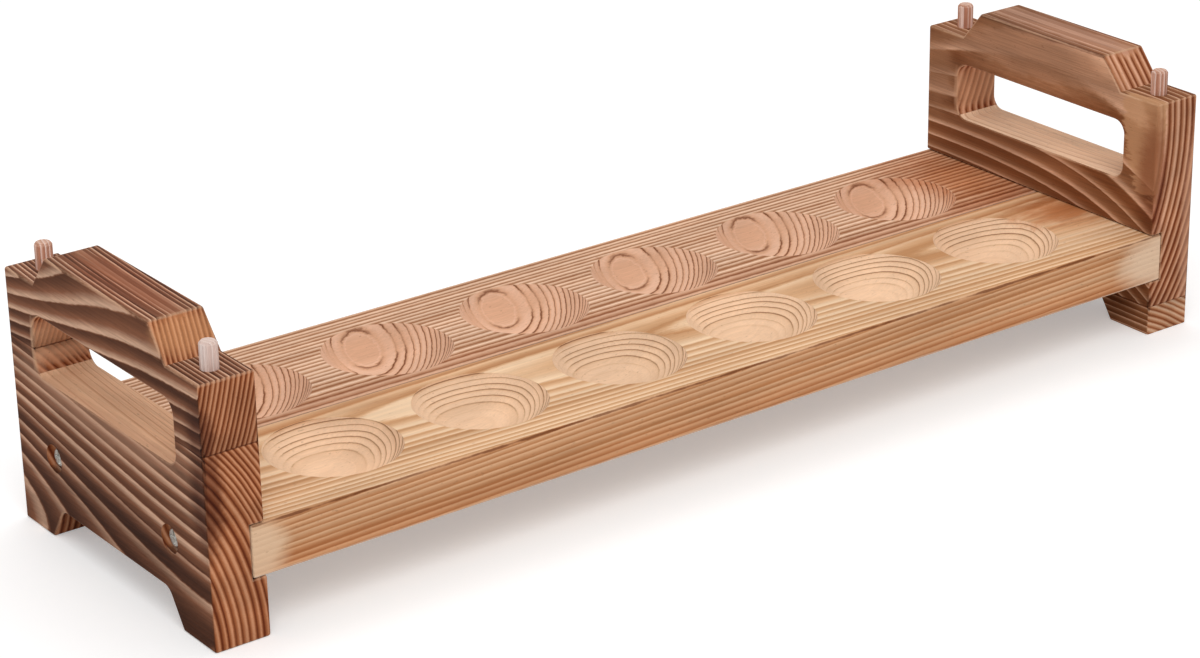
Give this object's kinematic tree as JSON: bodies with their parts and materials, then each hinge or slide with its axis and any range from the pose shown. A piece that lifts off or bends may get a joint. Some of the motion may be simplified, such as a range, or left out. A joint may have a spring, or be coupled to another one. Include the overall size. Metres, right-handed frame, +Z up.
{
  "type": "wooden egg holder",
  "caption": "Stackable wooden egg tray: a deck with two rows of round wells between two end panels with hand slots, feet and stacking pins.",
  "frame": {"origin": "middle of the tray's footprint, on the table under its feet", "axes": "+X along the deck towards the right end panel, +Y to the back, +Z up"},
  "size_m": [0.42, 0.124, 0.1015],
  "materials": {
    "front_deck_wood": "matt, sanded, lightly scorched",
    "back_deck_wood": "matt, sanded, lightly scorched",
    "left_end_wood": "matt, scorched brown and brushed",
    "right_end_wood": "matt, scorched brown",
    "foot_wood": "matt, scorched brown",
    "pin_wood": "matt, unfinished beech, fluted",
    "screw_steel": "zinc plated steel"
  },
  "bodies": {
    "root": {"front_deck_board": "front_deck_wood", "back_deck_board": "back_deck_wood", "left_end_upper_board": "left_end_wood", "left_end_lower_board": "left_end_wood", "right_end_board": "right_end_wood", "right_front_foot_block": "foot_wood", "right_back_foot_block": "foot_wood", "left_front_pin": "pin_wood", "left_back_pin": "pin_wood", "right_front_pin": "pin_wood", "right_back_pin": "pin_wood", "left_front_screw": "screw_steel", "left_back_screw": "screw_steel", "right_front_screw": "screw_steel", "right_back_screw": "screw_steel"}
  },
  "joints": []
}
